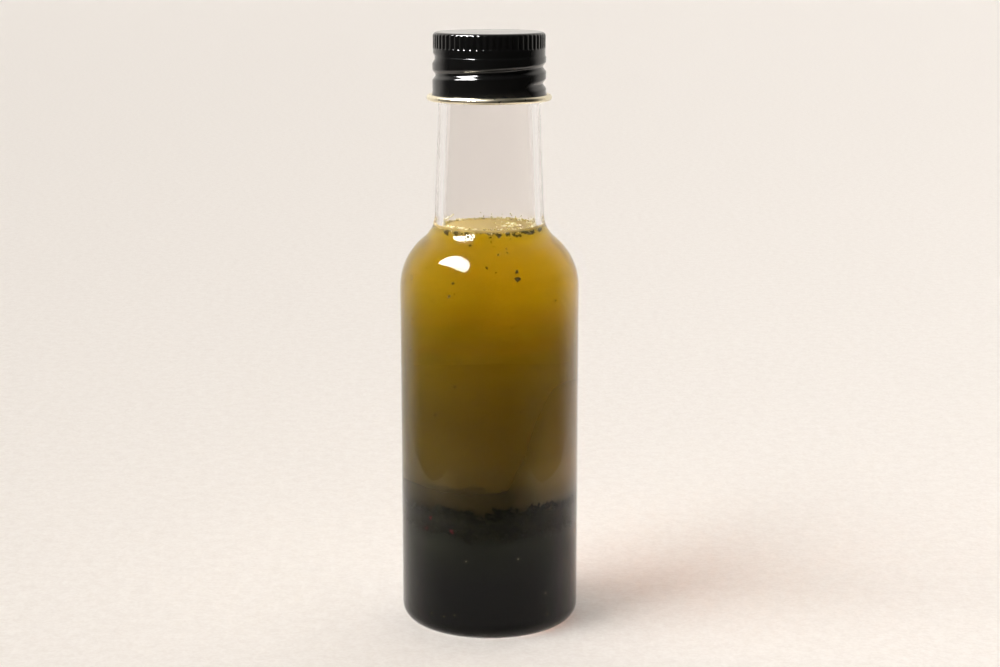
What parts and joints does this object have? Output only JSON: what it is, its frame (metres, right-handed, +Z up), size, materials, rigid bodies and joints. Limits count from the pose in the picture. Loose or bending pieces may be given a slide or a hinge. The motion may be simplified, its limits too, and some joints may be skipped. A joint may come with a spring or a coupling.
{
  "type": "balsamic dressing bottle",
  "caption": "small clear glass bottle of layered oil, herb and vinegar dressing, with a straight body, round shoulder, tapered neck and black screw cap with a rolled gold rim",
  "frame": {"origin": "middle of the flat ring that the bottle stands on, on the bottle's axis", "axes": "+Z up along the bottle's axis, -Y the side shown to the viewer, +X to the viewer's right"},
  "size_m": [0.045, 0.045, 0.15],
  "materials": {
    "clear_glass": "gloss",
    "black_lacquer": "gloss",
    "gold_lacquer": "gloss",
    "liner_foam": "matt",
    "olive_oil": "gloss",
    "wet_herbs": "wet",
    "dark_vinegar": "gloss"
  },
  "bodies": {
    "root": {"bottle_glass": "clear_glass", "screw_cap": "black_lacquer", "cap_liner": "liner_foam", "oil": "olive_oil", "herb_layer": "wet_herbs", "vinegar": "dark_vinegar"}
  },
  "joints": []
}
